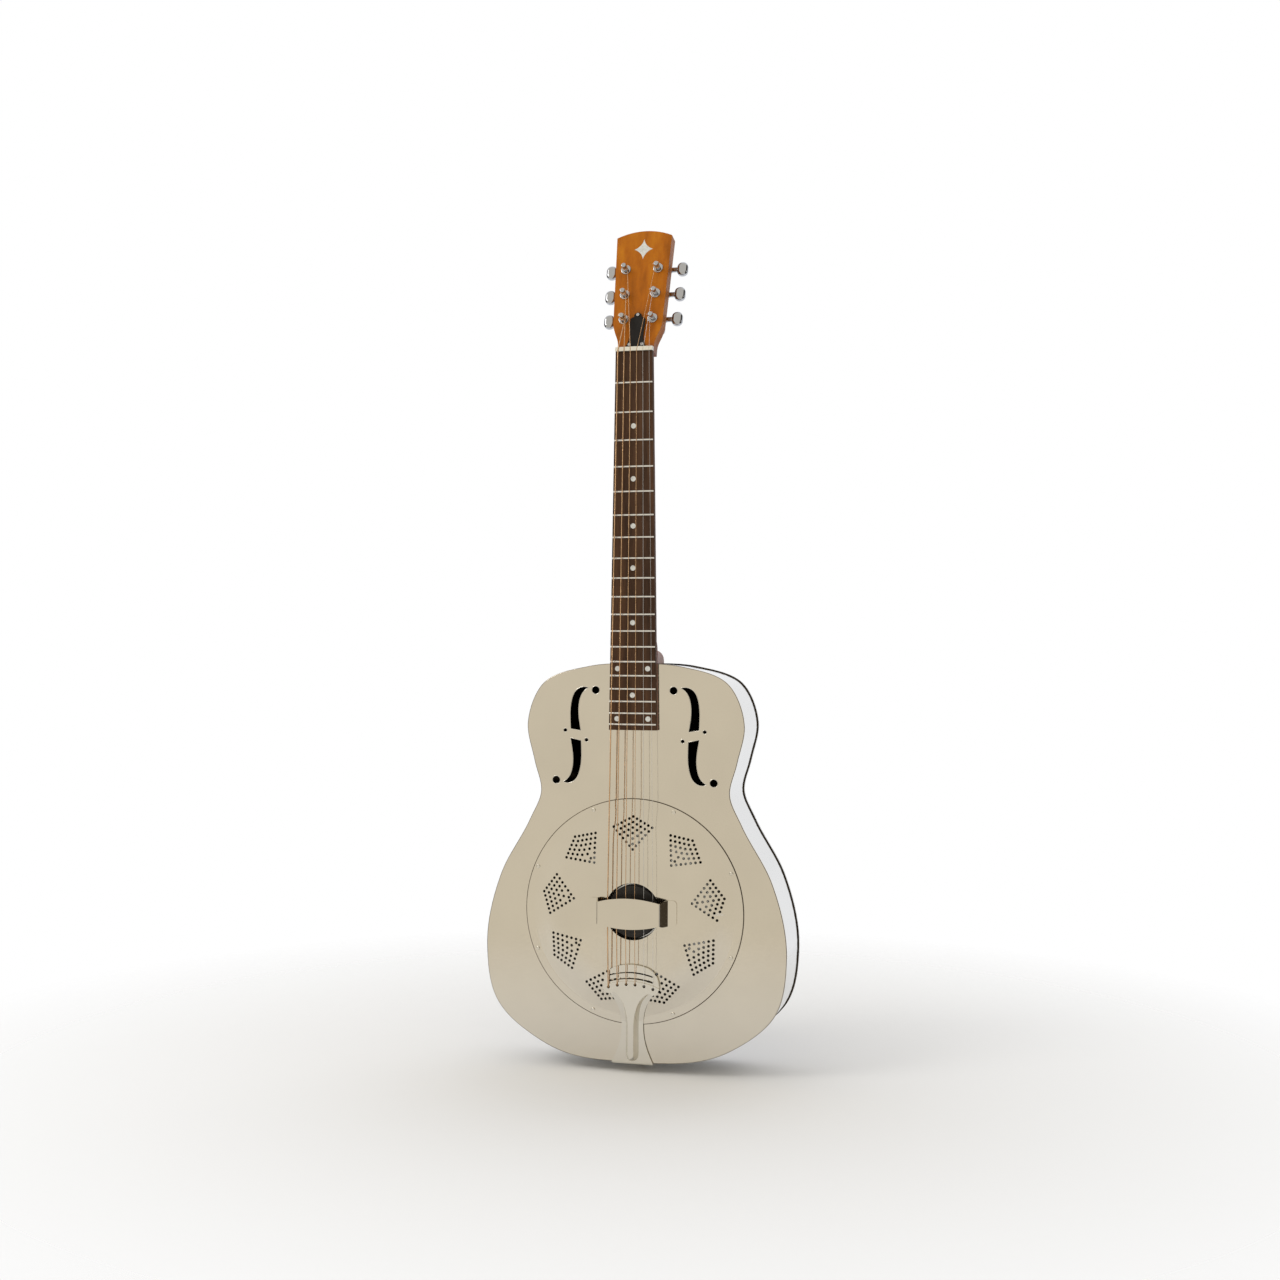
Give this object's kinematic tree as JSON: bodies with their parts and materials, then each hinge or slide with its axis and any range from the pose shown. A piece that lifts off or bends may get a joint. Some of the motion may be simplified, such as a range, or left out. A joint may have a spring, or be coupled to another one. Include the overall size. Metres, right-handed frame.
{
  "type": "resonator guitar",
  "caption": "Metal-bodied resonator guitar with a perforated cover plate over a spun cone, f-shaped sound holes, round neck and geared tuners.",
  "frame": {"origin": "middle of the strap button's waist, at the tail end on the body's middle plane", "axes": "+Z along the neck from tail to headstock, face towards -Y, treble side +X"},
  "size_m": [0.3522, 0.1104, 0.9649],
  "materials": {
    "nickel": "satin nickel plate",
    "nickel_polished": "polished nickel plate",
    "chrome": "polished",
    "aluminium": "spun",
    "steel": "drawn",
    "fret_wire": "polished nickel silver",
    "mahogany_head": "gloss amber lacquer",
    "mahogany_neck": "satin lacquer",
    "rosewood": "oiled",
    "maple": "raw",
    "black_wood": "dark stained",
    "ivory": "polished",
    "pearl": "pearl",
    "black_plastic": "gloss",
    "bronze": "wound",
    "brass": "turned"
  },
  "bodies": {
    "guitar": {"biscuit": "black_wood", "biscuit_screw": "steel", "body_back": "nickel_polished", "body_sides": "nickel_polished", "body_top": "nickel", "cover_plate": "nickel", "cover_screws": "nickel_polished", "fingerboard": "rosewood", "frets": "fret_wire", "hand_rest": "nickel", "head_inlay": "pearl", "neck": "mahogany_neck", "neck_stick": "maple", "nut": "ivory", "position_dots": "pearl", "resonator_cone": "aluminium", "saddle": "maple", "sound_well": "nickel", "stick_supports": "maple", "strap_button": "chrome", "strap_screw": "steel", "string_1": "bronze", "string_2": "bronze", "string_3": "bronze", "string_4": "bronze", "string_5": "steel", "string_6": "steel", "string_ball_ends": "brass", "tailpiece": "nickel_polished", "truss_cover": "black_plastic", "truss_cover_screws": "chrome", "truss_rod": "steel", "truss_rod_nut": "brass", "tuner_bushings": "chrome", "tuner_housings": "chrome", "tuner_screws": "chrome"},
    "tuner_drive_1": {"tuner_button_1": "chrome", "tuner_worm_1": "steel"},
    "string_post_1": {"tuner_post_1": "chrome", "tuner_gear_1": "brass"},
    "tuner_drive_2": {"tuner_button_2": "chrome", "tuner_worm_2": "steel"},
    "string_post_2": {"tuner_post_2": "chrome", "tuner_gear_2": "brass"},
    "tuner_drive_3": {"tuner_button_3": "chrome", "tuner_worm_3": "steel"},
    "string_post_3": {"tuner_post_3": "chrome", "tuner_gear_3": "brass"},
    "tuner_drive_4": {"tuner_button_4": "chrome", "tuner_worm_4": "steel"},
    "string_post_4": {"tuner_post_4": "chrome", "tuner_gear_4": "brass"},
    "tuner_drive_5": {"tuner_button_5": "chrome", "tuner_worm_5": "steel"},
    "string_post_5": {"tuner_post_5": "chrome", "tuner_gear_5": "brass"},
    "tuner_drive_6": {"tuner_button_6": "chrome", "tuner_worm_6": "steel"},
    "string_post_6": {"tuner_post_6": "chrome", "tuner_gear_6": "brass"}
  },
  "joints": [
    {"name": "post_turn_1", "type": "hinge", "parent": "guitar", "child": "string_post_1", "pos_m": [-0.0171, -0.03423, 0.85077], "axis": [0, -0.9646, 0.2639], "continuous": true},
    {"name": "button_turn_1", "type": "hinge", "parent": "guitar", "child": "tuner_drive_1", "pos_m": [-0.0271, -0.01076, 0.85317], "axis": [-1, 0, 0], "continuous": true},
    {"name": "post_turn_2", "type": "hinge", "parent": "guitar", "child": "string_post_2", "pos_m": [-0.0182, -0.02591, 0.88116], "axis": [0, -0.9646, 0.2639], "continuous": true},
    {"name": "button_turn_2", "type": "hinge", "parent": "guitar", "child": "tuner_drive_2", "pos_m": [-0.0282, -0.00245, 0.88355], "axis": [-1, 0, 0], "continuous": true},
    {"name": "post_turn_3", "type": "hinge", "parent": "guitar", "child": "string_post_3", "pos_m": [-0.0192, -0.01752, 0.91183], "axis": [0, -0.9646, 0.2639], "continuous": true},
    {"name": "button_turn_3", "type": "hinge", "parent": "guitar", "child": "tuner_drive_3", "pos_m": [-0.0292, 0.00594, 0.91422], "axis": [-1, 0, 0], "continuous": true},
    {"name": "post_turn_4", "type": "hinge", "parent": "guitar", "child": "string_post_4", "pos_m": [0.0192, -0.01752, 0.91183], "axis": [0, -0.9646, 0.2639], "continuous": true},
    {"name": "button_turn_4", "type": "hinge", "parent": "guitar", "child": "tuner_drive_4", "pos_m": [0.0292, 0.00594, 0.91422], "axis": [1, 0, 0], "continuous": true},
    {"name": "post_turn_5", "type": "hinge", "parent": "guitar", "child": "string_post_5", "pos_m": [0.0182, -0.02591, 0.88116], "axis": [0, -0.9646, 0.2639], "continuous": true},
    {"name": "button_turn_5", "type": "hinge", "parent": "guitar", "child": "tuner_drive_5", "pos_m": [0.0282, -0.00245, 0.88355], "axis": [1, 0, 0], "continuous": true},
    {"name": "post_turn_6", "type": "hinge", "parent": "guitar", "child": "string_post_6", "pos_m": [0.0171, -0.03423, 0.85077], "axis": [0, -0.9646, 0.2639], "continuous": true},
    {"name": "button_turn_6", "type": "hinge", "parent": "guitar", "child": "tuner_drive_6", "pos_m": [0.0271, -0.01076, 0.85317], "axis": [1, 0, 0], "continuous": true}
  ],
  "couplings": [
    {"joint": "post_turn_1", "follows": "button_turn_1", "ratio": -0.071429},
    {"joint": "post_turn_2", "follows": "button_turn_2", "ratio": -0.071429},
    {"joint": "post_turn_3", "follows": "button_turn_3", "ratio": -0.071429},
    {"joint": "post_turn_4", "follows": "button_turn_4", "ratio": 0.071429},
    {"joint": "post_turn_5", "follows": "button_turn_5", "ratio": 0.071429},
    {"joint": "post_turn_6", "follows": "button_turn_6", "ratio": 0.071429}
  ]
}
